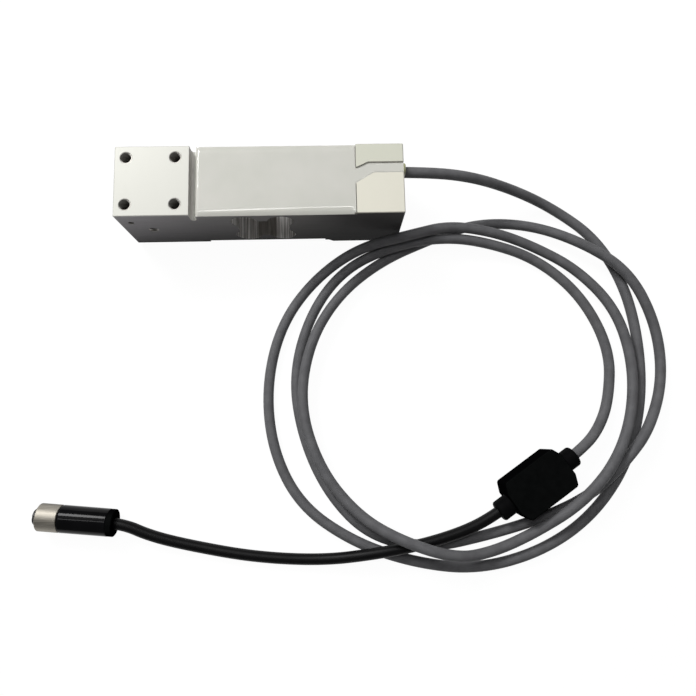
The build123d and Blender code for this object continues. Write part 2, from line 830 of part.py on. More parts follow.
def main():
    os.makedirs("parts", exist_ok=True)
    nodes = {}
    places = gauge_places()
    for name, place in places.items():
        nodes["gauge_backing_" + name] = place * gauge_backing()
        nodes["gauge_grid_" + name] = place * gauge_grid()
    nodes["compensation_board"] = board()
    nodes["trim_resistors"] = trim_resistors()
    nodes["bridge_wires_top"] = top_bridge_wires()
    nodes["bridge_wires_bottom"] = bottom_bridge_wires()
    for index, colour in enumerate(("red", "green", "white", "black")):
        nodes["conductor_" + colour] = conductor(index)
    nodes["grey_cable"] = grey_cable()
    nodes["black_cable"] = black_cable()
    for name, route in (("grey", grey_points), ("black", black_points)):
        print(name, "cable bend radii", [round(radius, 1) for radius in cord_radii(route)])

    top_inner = [places[name] * gauge_envelope() for name in ("top_left", "top_right")]
    top_inner += [nodes[name] for name in (
        "compensation_board", "trim_resistors", "bridge_wires_top", "bridge_wires_bottom",
        "conductor_red", "conductor_green", "conductor_white", "conductor_black", "grey_cable",
    )]
    bottom_inner = [places[name] * gauge_envelope() for name in ("bottom_left", "bottom_right")]
    bottom_inner.append(nodes["bridge_wires_bottom"])
    nodes["spring_body"] = spring_body()
    nodes["top_sealant"] = top_sealant(top_inner)
    nodes["bottom_sealant"] = bottom_sealant(bottom_inner)
    nodes["exit_seal"] = exit_seal(nodes["grey_cable"])

    box = converter_place()
    turn = Rot(0, 0, 180)
    nodes["converter_case_lower"] = box * converter_case_lower()
    nodes["converter_case_upper"] = box * converter_case_upper()
    nodes["case_screws"] = box * case_screws()
    nodes["converter_board"] = box * converter_board()
    nodes["board_components"] = box * board_components()
    nodes["cable_grommet_in"] = box * grommet(grey_cable_radius)
    nodes["cable_grommet_out"] = box * turn * grommet(black_cable_radius)
    nodes["input_leads"] = box * converter_leads()
    nodes["output_leads"] = box * turn * converter_leads()

    plug = connector_place()
    nodes["connector_rear_cap"] = plug * connector_rear_cap()
    nodes["connector_body"] = plug * connector_body()
    nodes["coupling_ring"] = plug * coupling_ring()
    nodes["contact_insert"] = plug * contact_insert()
    nodes["contact_sockets"] = plug * contact_sockets()
    nodes["o_ring"] = plug * o_ring()
    nodes["cable_clamp"] = plug * cable_clamp()
    nodes["connector_leads"] = plug * connector_leads()

    for name, shape in nodes.items():
        export_step(shape, "parts/" + name + ".step")


main()
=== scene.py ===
import json
import math

import bmesh
import bpy
import numpy as np
from mathutils import Matrix, Vector, noise

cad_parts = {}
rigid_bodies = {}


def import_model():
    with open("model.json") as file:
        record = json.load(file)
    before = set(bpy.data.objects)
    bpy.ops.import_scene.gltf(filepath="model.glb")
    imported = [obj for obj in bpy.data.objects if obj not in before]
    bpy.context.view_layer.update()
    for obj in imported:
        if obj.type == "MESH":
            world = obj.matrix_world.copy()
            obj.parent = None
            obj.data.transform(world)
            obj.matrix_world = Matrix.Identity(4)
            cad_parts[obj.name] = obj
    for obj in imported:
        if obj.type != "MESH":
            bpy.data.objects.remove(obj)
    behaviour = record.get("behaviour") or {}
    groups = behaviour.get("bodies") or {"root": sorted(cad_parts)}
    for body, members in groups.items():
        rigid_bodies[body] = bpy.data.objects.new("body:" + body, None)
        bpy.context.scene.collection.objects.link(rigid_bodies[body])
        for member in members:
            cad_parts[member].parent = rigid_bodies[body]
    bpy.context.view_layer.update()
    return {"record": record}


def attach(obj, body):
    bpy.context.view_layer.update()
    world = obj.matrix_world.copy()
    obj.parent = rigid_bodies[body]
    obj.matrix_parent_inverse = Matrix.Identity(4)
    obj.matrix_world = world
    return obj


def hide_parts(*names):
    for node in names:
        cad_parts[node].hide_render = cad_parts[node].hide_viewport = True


MM = 0.001

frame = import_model()

BODY = "load_cell"

# Beam sizes in millimetres, as the solids have them
BODY_END = 75.0
BODY_SIDE = 19.0
BODY_TOP = 44.0
BEAM_MID_Z = 23.25
HOLE_CENTRE = 56.3
HOLE_HALF_PITCH = 12.7
SIDE_HOLE_X = -60.0
LOCATING_HOLE_X = -68.7
LOCATING_HOLE_Z = 34.0
LOCATING_HOLE_RADIUS = 1.5
RECESS_FLOOR = 42.1
RECESS_LEFT = -33.3
LAND_START = 50.0
SEAL_TOP = 43.1
CHANNEL_FRONT = 2.95
CHANNEL_BACK = 9.05
FUNNEL_FRONT = (59.2, -2.6)
FUNNEL_BACK = (56.3, 6.1)
GROOVE_WALL = -36.3
FOOT_STEP = 37.6
FOOT_STEP_HEIGHT = 2.5
WINDOW_HALF = 17.5
WINDOW_FLOOR = 5.5
WINDOW_ROOF = 41.2
WINDOW_CENTRE_HALF = 5.2

# Threads: radius, pitch and depth in millimetres
M6 = (3.0, 1.0, 12.0)
M5 = (2.5, 0.8, 10.0)
THREAD_START = 0.4
THREAD_STEPS = 40
THREAD_ROWS = 6

# Cables in millimetres: a centre line on the floor is one radius up
GREY_RADIUS = 2.9
BLACK_RADIUS = 3.05
GREY_LOW = GREY_RADIUS
BLACK_LOW = BLACK_RADIUS

# Routes of the two cables, millimetres
GREY_ROUTE = [
    (60, 6, 37), (84, 6, 37), (112, 5.8, 31.5), (141, 4.8, 14.5), (167.3, -2.4, GREY_LOW),
    (191, -21, GREY_LOW), (206, -50, GREY_LOW), (211, -84, GREY_LOW), (209, -118, GREY_LOW),
    (198, -151.2, GREY_LOW), (176, -178.9, GREY_LOW), (146.4, -196.8, GREY_LOW), (111, -205, GREY_LOW),
    (77, -200.4, GREY_LOW), (45, -189, GREY_LOW), (16.5, -169, GREY_LOW), (1.7, -139, GREY_LOW),
    (-1.5, -104, GREY_LOW), (6.5, -70, GREY_LOW), (25, -44, GREY_LOW), (51, -26.7, 9.4),
    (81.2, -21.6, 16.5), (103.6, -15.3, 13), (130, -18.8, 10.2), (154, -26, 4.5), (178, -40, 4.5),
    (197, -64, 7.6), (204, -94, 8), (200.6, -124, 9), (186, -149.7, 16.4), (166, -170.2, 16.4),
    (143.5, -185.5, 7.6), (120.6, -195, 7.3), (97.7, -196.6, 17.4), (68.7, -186.7, 17.4),
    (47, -174, 10), (27.5, -149.5, 9.6), (17, -115, 8.3), (23, -80, 7.8), (40, -52.6, 6.2),
    (65.3, -32.4, GREY_LOW), (94, -20.2, GREY_LOW), (121, -10.7, GREY_LOW), (153, -12.5, 3.8),
    (181, -26, 10), (206, -43.5, 10), (220.5, -73, 5.6), (222.5, -104, 3.4), (209.2, -132, 9.8),
    (193.7, -149.5, 10.7), (175.5, -167, 6.7), (148, -179.4, GREY_LOW), (118, -187.2, GREY_LOW),
    (86, -193.2, GREY_LOW), (54, -186.5, GREY_LOW), (31.7, -163, GREY_LOW), (18, -131.5, GREY_LOW),
    (13.5, -97, GREY_LOW), (24, -62, GREY_LOW), (43.5, -36.8, GREY_LOW), (72, -25.4, 8.9),
    (99, -21.4, 10.2), (124, -23.4, 7.6), (155, -32.5, GREY_LOW), (180, -55, GREY_LOW),
    (194, -87, GREY_LOW), (190.5, -116, 3.3), (181, -133, 7.2), (169.6, -143.3, 9), (158.8, -150.6, 9),
]
BLACK_ROUTE = [
    (130.6, -169.6, 9), (119.8, -176.9, 9), (104, -184, 9.8), (82, -190, 10.2),
    (56, -194.2, 10.2), (28, -197.8, 3.4), (-8, -195.2, BLACK_LOW), (-42, -188.4, BLACK_LOW),
    (-63, -182.4, 5.6), (-77.5, -175.4, 7.25), (-90, -174.1, 7.25),
]

# The photograph's camera
CAMERA_PLACE = Vector((0.035838, -0.134412, 0.344894))
CAMERA_FORWARD = Vector((0.025233, 0.148587, -0.988577))
CAMERA_UP = Vector((0.020530, 0.988607, 0.149115))
CAMERA_LENS = 31.654
SENSOR_WIDTH = 36.0
CLIP_START = 0.01
CLIP_END = 20.0

# Area lights: name, place, aim, size along and across, watts
LIGHTS = [
    ("key", (-0.5, 0.6, 0.8), (0.05, -0.08, 0.0), 0.4, 0.3, 7.8),
    ("strip", (-0.2, 0.2, 1.2), (-0.05, -0.08, 0.0), 1.3, 0.06, 2.6),
    ("panel", (-0.15, 0.55, 1.05), (0.0, 0.0, 0.04), 1.4, 0.6, 2.2),
]
WORLD_STRENGTH = 0.18
FLOOR_HALF = 3.0
FLOOR_LEVEL = -0.0002
FLOOR_GREY = 0.35
FLOOR_GLOW = 1.2
FLOOR_GLOW_SHARE = 0.8


def srgb(red, green, blue):
    """A linear colour from the 0 to 255 values of a photograph."""
    def linear(value):
        value /= 255.0
        return value / 12.92 if value <= 0.04045 else ((value + 0.055) / 1.055) ** 2.4
    return (linear(red), linear(green), linear(blue), 1.0)


def set_camera():
    """The camera fitted to the photograph."""
    data = bpy.data.cameras.new("photo_camera")
    data.lens = CAMERA_LENS
    data.sensor_width = SENSOR_WIDTH
    data.clip_start = CLIP_START
    data.clip_end = CLIP_END
    camera = bpy.data.objects.new("photo_camera", data)
    right = CAMERA_FORWARD.cross(CAMERA_UP).normalized()
    up = right.cross(CAMERA_FORWARD).normalized()
    turn = Matrix((right, up, -CAMERA_FORWARD.normalized())).transposed()
    camera.matrix_world = Matrix.Translation(CAMERA_PLACE) @ turn.to_4x4()
    bpy.context.collection.objects.link(camera)
    bpy.context.scene.camera = camera


def area_light(name, place, aim, size_x, size_y, watts):
    data = bpy.data.lights.new(name, "AREA")
    data.shape = "RECTANGLE"
    data.size = size_x
    data.size_y = size_y
    data.energy = watts
    light = bpy.data.objects.new(name, data)
    place = Vector(place)
    light.location = place
    light.rotation_euler = (Vector(aim) - place).to_track_quat("-Z", "Y").to_euler()
    bpy.context.collection.objects.link(light)


class Surface:
    """A Principled material with a few procedural layers."""

    def __init__(self, name, rough=0.5, metal=0.0, coat=0.0, coat_rough=0.1, shine=0.5):
        self.material = bpy.data.materials.new(name)
        self.material.use_nodes = True
        self.tree = self.material.node_tree
        self.shader = self.tree.nodes["Principled BSDF"]
        self.shader.inputs["Roughness"].default_value = rough
        self.shader.inputs["Metallic"].default_value = metal
        self.shader.inputs["Coat Weight"].default_value = coat
        self.shader.inputs["Coat Roughness"].default_value = coat_rough
        self.shader.inputs["Specular IOR Level"].default_value = shine
        self.coords = self.tree.nodes.new("ShaderNodeTexCoord")
        self.height = None

    def link(self, output, target):
        self.tree.links.new(output, target)

    def node(self, kind, **inputs):
        made = self.tree.nodes.new(kind)
        for key, value in inputs.items():
            made.inputs[key.replace("_", " ")].default_value = value
        return made

    def math(self, operation, first, second=0.0):
        made = self.tree.nodes.new("ShaderNodeMath")
        made.operation = operation
        for socket, value in zip(made.inputs, (first, second)):
            if isinstance(value, (int, float)):
                socket.default_value = value
            else:
                self.link(value, socket)
        return made.outputs[0]

    def over(self, value, limit):
        """1 where the value is greater than the limit."""
        return self.math("GREATER_THAN", value, limit)

    def under(self, value, limit):
        """1 where the value is less than the limit."""
        return self.math("LESS_THAN", value, limit)

    def product(self, *values):
        made = values[0]
        for value in values[1:]:
            made = self.math("MULTIPLY", made, value)
        return made

    def largest(self, *values):
        made = values[0]
        for value in values[1:]:
            made = self.math("MAXIMUM", made, value)
        return made

    def ramp(self, factor, stops):
        """A colour ramp through (place, colour) stops."""
        made = self.tree.nodes.new("ShaderNodeValToRGB")
        band = made.color_ramp
        while len(band.elements) < len(stops):
            band.elements.new(0.5)
        for element, (place, color) in zip(band.elements, stops):
            element.position = place
            element.color = color
        self.link(factor, made.inputs["Fac"])
        return made.outputs["Color"]

    def mix(self, factor, first, second):
        """The first colour at factor 0, the second at 1."""
        made = self.tree.nodes.new("ShaderNodeMix")
        made.data_type = "RGBA"
        self.link(factor, made.inputs[0])
        for socket, value in ((made.inputs[6], first), (made.inputs[7], second)):
            if isinstance(value, tuple):
                socket.default_value = value
            else:
                self.link(value, socket)
        return made.outputs[2]

    def spots(self, scale, stretch=(1, 1, 1), detail=3.0, rough=0.5):
        """Noise, drawn out along an axis whose stretch is small."""
        place = self.node("ShaderNodeMapping")
        place.inputs["Scale"].default_value = stretch
        self.link(self.coords.outputs["Object"], place.inputs["Vector"])
        made = self.node("ShaderNodeTexNoise", Scale=scale, Detail=detail, Roughness=rough)
        self.link(place.outputs["Vector"], made.inputs["Vector"])
        return made.outputs["Fac"]

    def position(self, axis):
        split = self.tree.nodes.new("ShaderNodeSeparateXYZ")
        self.link(self.coords.outputs["Object"], split.inputs[0])
        return split.outputs[axis]

    def normal(self, axis):
        split = self.tree.nodes.new("ShaderNodeSeparateXYZ")
        self.link(self.coords.outputs["Normal"], split.inputs[0])
        return split.outputs[axis]

    def span(self, value, low, high):
        """0 at low, 1 at high, held outside."""
        made = self.node("ShaderNodeMapRange")
        made.inputs["From Min"].default_value = low
        made.inputs["From Max"].default_value = high
        self.link(value, made.inputs["Value"])
        return made.outputs["Result"]

    def near(self, first, second, radius):
        """1 within the radius (mm) of the line where both values are zero."""
        square = self.math("ADD", self.product(first, first), self.product(second, second))
        return self.under(square, (radius * MM) ** 2)

    def tint(self, factor, stops):
        self.link(self.ramp(factor, stops), self.shader.inputs["Base Color"])

    def color(self, output):
        self.link(output, self.shader.inputs["Base Color"])

    def bump(self, height, distance, strength=1.0):
        """A bump on top of the ones before it; the distance is in metres."""
        made = self.node("ShaderNodeBump", Strength=strength, Distance=distance)
        self.link(height, made.inputs["Height"])
        if self.height is not None:
            self.link(self.height, made.inputs["Normal"])
        self.height = made.outputs["Normal"]
        self.link(self.height, self.shader.inputs["Normal"])

    def roughness(self, factor, low, high):
        made = self.node("ShaderNodeMapRange")
        made.inputs["To Min"].default_value = low
        made.inputs["To Max"].default_value = high
        self.link(factor, made.inputs["Value"])
        self.link(made.outputs["Result"], self.shader.inputs["Roughness"])


# Limits between the painted areas of beam and sealant, millimetres
LAND_SPLIT = 3.0  # y between the lower land and the upper one
FRONT_SKIN = 0.5  # depth behind the front that still counts as front
HOLE_SKIN = 0.05  # depth at which a hole's wall starts
FOOT_SHADOW_HEIGHT = 1.1  # height of the painted shadow line along the foot
BORE_SLACK = 0.06
TOP_BORE_END = 29.0
FOOT_BORE_END = 15.0
WALL_BOTTOM = 40.0
WALL_HALF = 0.6
GLINT_SECTOR = 3.4  # least x + y from a hole's centre for the painted glint
GLINT_BOTTOM = 39.5
GLINT_TOP = 43.5
CREASE_START = 0.12  # below the sealant's top
CREASE_DEPTH = 0.4
CREASE_REACH = 1.2  # in front of the lands

# Painted shade on the front face: one metal, graded from its upper left down to its dark foot
FRONT_TOP_SHADE_STOPS = [
    (0.0, srgb(228, 224, 228)), (0.3, srgb(190, 187, 188)), (0.63, srgb(152, 149, 147)),
    (0.8, srgb(100, 98, 98)), (1.0, srgb(92, 90, 90)),
]
FRONT_FOOT_SHADE_STOPS = [
    (0.0, srgb(60, 59, 60)), (0.3, srgb(8, 8, 8)), (0.63, srgb(6, 6, 6)), (0.8, srgb(2, 2, 2)),
]
# Milling streaks in the window, with painted highlights up to near white for the lobes' reflections
STREAK_AND_HIGHLIGHT_STOPS = [
    (0.34, srgb(104, 101, 100)), (0.45, srgb(188, 185, 182)), (0.52, srgb(255, 254, 252)),
    (0.58, srgb(140, 137, 135)), (0.70, srgb(255, 253, 250)),
]


def top_color(skin, x, y, fine):
    """Load pad, upper land and lower land, with a fine speckle; the lands' two tones are a painted
    reflection, the lower land lighter.
    """
    # Painted reflection: the lower land is lighter than the upper one
    land = skin.mix(skin.over(y, LAND_SPLIT * MM), srgb(239, 236, 221), srgb(220, 221, 205))
    pad = skin.mix(skin.over(x, 0.0), srgb(225, 225, 218), land)
    return skin.mix(skin.product(fine, 0.35), pad, srgb(222, 221, 211))


def front_color(skin, x, z, drawn):
    """The front's painted shade: lightest at the upper left, darker towards the right and the bottom, with
    a painted shadow line along its foot.
    """
    across = skin.span(x, -BODY_END * MM, BODY_END * MM)
    upward = skin.span(z, 0.0, BODY_TOP * MM)
    front = skin.mix(upward, skin.ramp(across, FRONT_FOOT_SHADE_STOPS), skin.ramp(across, FRONT_TOP_SHADE_STOPS))
    front = skin.mix(skin.product(drawn, 0.3), front, srgb(12, 12, 12))
    # A painted shadow line along the foot, where the beam stands on the floor
    foot = skin.product(skin.under(x, FOOT_STEP * MM), FOOT_STEP_HEIGHT * MM)
    painted_foot_shadow = skin.under(skin.math("SUBTRACT", z, foot), FOOT_SHADOW_HEIGHT * MM)
    return skin.mix(painted_foot_shadow, front, srgb(4, 4, 4))


def window_color(skin, width, milled):
    """Milling streaks across the lobes, with painted highlights for the lobes' reflections, plain milled
    grain on the walls in the centre.
    """
    streaks_and_highlights = skin.ramp(skin.spots(560, (1.0, 0.012, 0.3), detail=4.0, rough=0.7), STREAK_AND_HIGHLIGHT_STOPS)
    centre = skin.mix(milled, srgb(92, 89, 85), srgb(172, 168, 163))
    return skin.mix(skin.under(width, WINDOW_CENTRE_HALF * MM), streaks_and_highlights, centre)


def bore_mask(skin, x, y, z, width):
    """1 on the walls of the tapped holes and of the locating hole."""
    row = skin.math("ABSOLUTE", skin.math("SUBTRACT", width, HOLE_CENTRE * MM))
    off_x = skin.math("SUBTRACT", row, HOLE_HALF_PITCH * MM)
    off_y = skin.math("SUBTRACT", skin.math("ABSOLUTE", y), HOLE_HALF_PITCH * MM)
    from_top = skin.product(skin.under(x, 0.0), skin.over(z, TOP_BORE_END * MM))
    from_foot = skin.product(skin.over(x, 0.0), skin.under(z, FOOT_BORE_END * MM))
    bore = skin.product(skin.near(off_x, off_y, M6[0] + BORE_SLACK), skin.math("ADD", from_top, from_foot))
    deep = skin.over(y, (HOLE_SKIN - BODY_SIDE) * MM)
    for centre_x, centre_z, radius in (
        (SIDE_HOLE_X, BEAM_MID_Z, M5[0]), (LOCATING_HOLE_X, LOCATING_HOLE_Z, LOCATING_HOLE_RADIUS),
    ):
        off_x = skin.math("SUBTRACT", x, centre_x * MM)
        off_z = skin.math("SUBTRACT", z, centre_z * MM)
        bore = skin.largest(bore, skin.product(skin.near(off_x, off_z, radius + BORE_SLACK), deep))
    return bore


def painted_glint_mask(skin, x, y, z, bore):
    """1 where a painted glint lies on the first threads in the load pad."""
    along = skin.math("ADD", x, HOLE_CENTRE * MM)
    nearest = [skin.product(skin.math("SIGN", value), HOLE_HALF_PITCH * MM) for value in (along, y)]
    local_x = skin.math("SUBTRACT", along, nearest[0])
    local_y = skin.math("SUBTRACT", y, nearest[1])
    sector = skin.over(skin.math("ADD", local_x, local_y), GLINT_SECTOR * MM)
    return skin.product(bore, sector, skin.over(z, GLINT_BOTTOM * MM), skin.under(z, GLINT_TOP * MM))


def painted_light_wall_mask(skin, x, y, z, normal_x, normal_y):
    """1 on the groove's wall beside the load pad and on the back walls of the recess and channel, where
    painted light lifts them to near white.
    """
    groove = skin.under(skin.math("ABSOLUTE", skin.math("SUBTRACT", x, GROOVE_WALL * MM)), WALL_HALF * MM)
    groove = skin.product(groove, skin.over(normal_x, 0.5))
    behind = skin.over(y, (FRONT_SKIN - BODY_SIDE) * MM)
    back = skin.product(skin.under(normal_y, -0.4), skin.over(z, WALL_BOTTOM * MM), behind)
    return skin.largest(groove, back)


def aluminium():
    """Machined, clear anodised: near white on top, painted shade on the front, milling streaks with painted
    highlights in the window, a painted glint in each of the load pad's holes, painted light on the groove's
    wall and the back walls.
    """
    skin = Surface("anodised_aluminium", rough=0.4, shine=0.01)
    x, y, z = (skin.position(axis) for axis in "XYZ")
    normal_x, normal_y, normal_z = (skin.normal(axis) for axis in "XYZ")
    milled = skin.spots(900, (1.0, 0.08, 1.0), detail=4.0)
    drawn = skin.spots(900, (0.06, 1.0, 1.0), detail=4.0)
    fine = skin.spots(3000, detail=2.0)
    width = skin.math("ABSOLUTE", x)
    steepness = skin.math("ABSOLUTE", normal_y)

    up = skin.span(normal_z, 0.35, 0.85)
    is_front = skin.product(skin.under(normal_y, -0.4), skin.under(y, (FRONT_SKIN - BODY_SIDE) * MM))
    window = skin.product(
        skin.under(steepness, 0.5), skin.under(width, WINDOW_HALF * MM),
        skin.under(z, WINDOW_ROOF * MM), skin.over(z, WINDOW_FLOOR * MM))
    bore = bore_mask(skin, x, y, z, width)
    painted_glint = painted_glint_mask(skin, x, y, z, bore)
    painted_light_wall = painted_light_wall_mask(skin, x, y, z, normal_x, normal_y)

    grain = skin.mix(skin.over(steepness, 0.5), milled, drawn)
    brushed = skin.ramp(grain, [(0.3, srgb(128, 126, 126)), (0.7, srgb(168, 166, 164))])
    shown = skin.mix(is_front, brushed, front_color(skin, x, z, drawn))
    shown = skin.mix(up, shown, top_color(skin, x, y, fine))
    # Painted light: the groove's wall and the back walls are painted near white
    shown = skin.mix(painted_light_wall, shown, srgb(244, 242, 236))
    shown = skin.mix(window, shown, window_color(skin, width, milled))
    shown = skin.mix(bore, shown, srgb(150, 147, 142))
    # A painted glint, near white, on the first threads of the load pad's holes
    skin.color(skin.mix(painted_glint, shown, srgb(252, 250, 245)))

    elsewhere = skin.math("SUBTRACT", 1.0, skin.largest(is_front, up, painted_light_wall))
    metal = skin.largest(
        skin.product(up, 0.08), skin.product(window, 0.2), skin.product(elsewhere, 0.5),
        skin.math("SUBTRACT", bore, painted_glint), 0.02)
    skin.link(metal, skin.shader.inputs["Metallic"])
    skin.roughness(milled, 0.3, 0.48)
    skin.bump(milled, 0.00002, 0.35)
    skin.bump(fine, 0.00001, 0.3)
    return skin.material


def sealant():
    """Smooth pale silicone with a soft gloss and painted shade in the crease along the lands, dark beside
    the lower land and faint beside the upper one.
    """
    skin = Surface("sealant", rough=0.5, coat=1.0, coat_rough=0.07, shine=0.2)
    x, y, z = (skin.position(axis) for axis in "XYZ")
    cloud = skin.ramp(skin.spots(60, detail=2.0), [(0.3, srgb(211, 211, 202)), (0.7, srgb(217, 216, 208))])
    # Painted shade in the crease where the sealant meets the lands
    painted_crease_shade = skin.span(z, (SEAL_TOP - CREASE_START) * MM, (SEAL_TOP - CREASE_DEPTH) * MM)
    painted_crease_shade = skin.product(painted_crease_shade, skin.over(x, (LAND_START - CREASE_REACH) * MM))
    shade = skin.mix(skin.over(y, LAND_SPLIT * MM), srgb(128, 126, 116), srgb(214, 212, 202))
    skin.color(skin.mix(painted_crease_shade, cloud, shade))
    skin.bump(skin.spots(220, detail=2.0), 0.00003, 0.25)
    return skin.material


def exit_compound():
    """Amber compound with a soft gloss."""
    skin = Surface("exit_compound", rough=0.3, coat=0.4)
    skin.tint(skin.spots(700), [(0.3, srgb(150, 152, 104)), (0.7, srgb(196, 197, 158))])
    skin.bump(skin.spots(900), 0.00008, 0.5)
    return skin.material


def jacket(name, dark, light, rough, shine):
    """Extruded cable jacket: fine matt grain with slight handling marks."""
    skin = Surface(name, rough=rough, shine=shine)
    skin.tint(skin.spots(160, detail=4.0), [(0.3, dark), (0.7, light)])
    skin.bump(skin.spots(2600, detail=3.0), 0.00003, 0.4)
    skin.bump(skin.spots(240, detail=2.0), 0.0001, 0.25)
    return skin.material


def plastic(name, dark, light, rough, grain=4200, shine=0.5, painted_wall_shade=None):
    """Moulded plastic with a spark-eroded grain, with painted shade on its walls where a colour is given
    for it.
    """
    skin = Surface(name, rough=rough, shine=shine)
    shown = skin.ramp(skin.spots(300, detail=3.0), [(0.3, dark), (0.7, light)])
    if painted_wall_shade is not None:
        # Painted shade on the walls
        shown = skin.mix(skin.span(skin.normal("Z"), 0.9, 0.5), shown, painted_wall_shade)
    skin.color(shown)
    skin.bump(skin.spots(grain, detail=2.0), 0.00002, 0.6)
    return skin.material


def glossy_black():
    """Smooth moulded overgrip with a clear shine and faint flow waves."""
    skin = Surface("glossy_black", rough=0.11, shine=0.1)
    skin.tint(skin.spots(120, detail=2.0), [(0.3, srgb(9, 9, 10)), (0.7, srgb(14, 14, 16))])
    skin.bump(skin.spots(90, detail=1.0), 0.00006, 0.2)
    skin.bump(skin.spots(2600, detail=2.0), 0.000004, 0.25)
    return skin.material


def plated(name, dark, light, rough, below=None):
    """Bright metal with drawn grain, with painted shade on its underside where a colour is given for it."""
    skin = Surface(name, rough=rough, metal=1.0)
    grain = skin.spots(1500, (0.06, 1.0, 1.0), detail=4.0)
    shown = skin.ramp(grain, [(0.3, dark), (0.7, light)])
    if below is not None:
        # Painted shade on the underside
        shown = skin.mix(skin.span(skin.normal("Z"), 0.5, -0.1), shown, below)
    skin.color(shown)
    skin.roughness(grain, rough * 0.8, rough * 1.2)
    skin.bump(grain, 0.00001, 0.3)
    return skin.material


def foil(name, dark, light, metal, rough):
    """Thin film, foil or varnish with a fine speckle."""
    skin = Surface(name, rough=rough, metal=metal)
    skin.tint(skin.spots(1800), [(0.35, dark), (0.65, light)])
    skin.bump(skin.spots(3000), 0.00001, 0.4)
    return skin.material


def make_materials():
    """One material for each slot, by its name."""
    return {
        "anodised_aluminium": aluminium(),
        "sealant": sealant(),
        "exit_compound": exit_compound(),
        "polyimide_film": foil("polyimide_film", srgb(176, 112, 38), srgb(196, 134, 56), 0.0, 0.35),
        "gauge_foil": foil("gauge_foil", srgb(176, 150, 104), srgb(206, 184, 138), 0.9, 0.35),
        "green_board": plastic("green_board", srgb(18, 82, 42), srgb(28, 100, 54), 0.35),
        "resistor_body": plastic("resistor_body", srgb(24, 24, 26), srgb(38, 38, 40), 0.45),
        "varnished_wire": foil("varnished_wire", srgb(150, 78, 36), srgb(186, 108, 58), 0.8, 0.3),
        "insulation_red": plastic("insulation_red", srgb(150, 26, 22), srgb(172, 38, 32), 0.4),
        "insulation_green": plastic("insulation_green", srgb(22, 104, 52), srgb(34, 124, 66), 0.4),
        "insulation_white": plastic("insulation_white", srgb(214, 214, 208), srgb(228, 228, 222), 0.4),
        "insulation_black": plastic("insulation_black", srgb(20, 20, 21), srgb(32, 32, 33), 0.4),
        "grey_jacket": jacket("grey_jacket", srgb(98, 98, 100), srgb(112, 112, 114), 0.5, 0.12),
        "black_jacket": jacket("black_jacket", srgb(10, 10, 11), srgb(16, 16, 17), 0.42, 0.15),
        # The case gets painted shade on its walls
        "black_case": plastic(
            "black_case", srgb(12, 13, 13), srgb(16, 17, 17), 0.7, 3000, shine=0.0, painted_wall_shade=srgb(7, 7, 8)),
        "screw_steel": plated("screw_steel", srgb(150, 150, 152), srgb(180, 180, 182), 0.35),
        "black_rubber": plastic(
            "black_rubber", srgb(10, 10, 11), srgb(15, 15, 16), 0.6, 2000, shine=0.02),
        # The plated metal gets painted shade on its underside
        "plated_metal": plated(
            "plated_metal", srgb(158, 153, 143), srgb(180, 175, 165), 0.55, below=srgb(50, 48, 42)),
        "glossy_black": glossy_black(),
        "insert_plastic": plastic("insert_plastic", srgb(18, 18, 19), srgb(28, 28, 30), 0.45),
        "contact_gold": plated("contact_gold", srgb(206, 164, 84), srgb(226, 190, 112), 0.25),
    }


GLOSSY_NODES = ("connector_body",)


def dress_nodes(materials):
    """Give each solid its slot's material."""
    for entry in frame["record"]["subparts"]:
        shape = bpy.data.objects[entry["node"]]
        shape.data.materials.clear()
        slot = "glossy_black" if entry["node"] in GLOSSY_NODES else entry["material_slot"]
        shape.data.materials.append(materials[slot])


def add_piece(name, mesh, slot, materials, smooth_angle=None):
    """A mesh of the scene's own, on the fixed body."""
    piece = bpy.data.objects.new(name, mesh)
    bpy.context.collection.objects.link(piece)
    mesh.materials.append(materials[slot])
    if smooth_angle is not None:
        mesh.shade_smooth()
        mesh.set_sharp_from_angle(angle=math.radians(smooth_angle))
    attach(piece, BODY)
    return piece


def cable_curve(name, route, radius, slot, node, materials):
    """A smooth round cable through a route, in place of the solid one."""
    data = bpy.data.curves.new(name, "CURVE")
    data.dimensions = "3D"
    line = data.splines.new("NURBS")
    line.points.add(len(route) - 1)
    for point, place in zip(line.points, route):
        point.co = (place[0] * MM, place[1] * MM, place[2] * MM, 1.0)
    line.order_u = 3
    line.use_endpoint_u = True
    line.resolution_u = 10
    data.bevel_depth = radius * MM
    data.bevel_resolution = 6
    data.use_fill_caps = True
    data.materials.append(materials[slot])
    piece = bpy.data.objects.new(name, data)
    bpy.context.collection.objects.link(piece)
    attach(piece, BODY)
    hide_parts(node)
    return piece


def segment_distance(x, y, start, end):
    """The distance of points to a line from start to end."""
    ax, ay = start
    bx, by = end
    dx, dy = bx - ax, by - ay
    share = np.clip(((x - ax) * dx + (y - ay) * dy) / (dx * dx + dy * dy), 0.0, 1.0)
    return np.hypot(x - ax - share * dx, y - ay - share * dy)


UPPER_LAND = [
    (LAND_START, BODY_SIDE), (LAND_START, FUNNEL_BACK[1]), (FUNNEL_BACK[0], CHANNEL_BACK),
    (BODY_END, CHANNEL_BACK),
]
LOWER_LAND = [
    (LAND_START, -BODY_SIDE), (LAND_START, FUNNEL_FRONT[1]), (FUNNEL_FRONT[0], CHANNEL_FRONT),
    (BODY_END, CHANNEL_FRONT),
]


def land_distance(x, y):
    """The distance to the nearer land's edge."""
    nearest = np.full(x.shape, np.inf)
    for outline in (UPPER_LAND, LOWER_LAND):
        for start, end in zip(outline, outline[1:]):
            nearest = np.minimum(nearest, segment_distance(x, y, start, end))
    return nearest


def inside_pad(x, y):
    """True left of the lands and in the funnel and channel between them."""
    upper = np.interp(x, *zip(*UPPER_LAND[1:]))
    lower = np.interp(x, *zip(*LOWER_LAND[1:]))
    return (x <= LAND_START) | ((y <= upper) & (y >= lower))


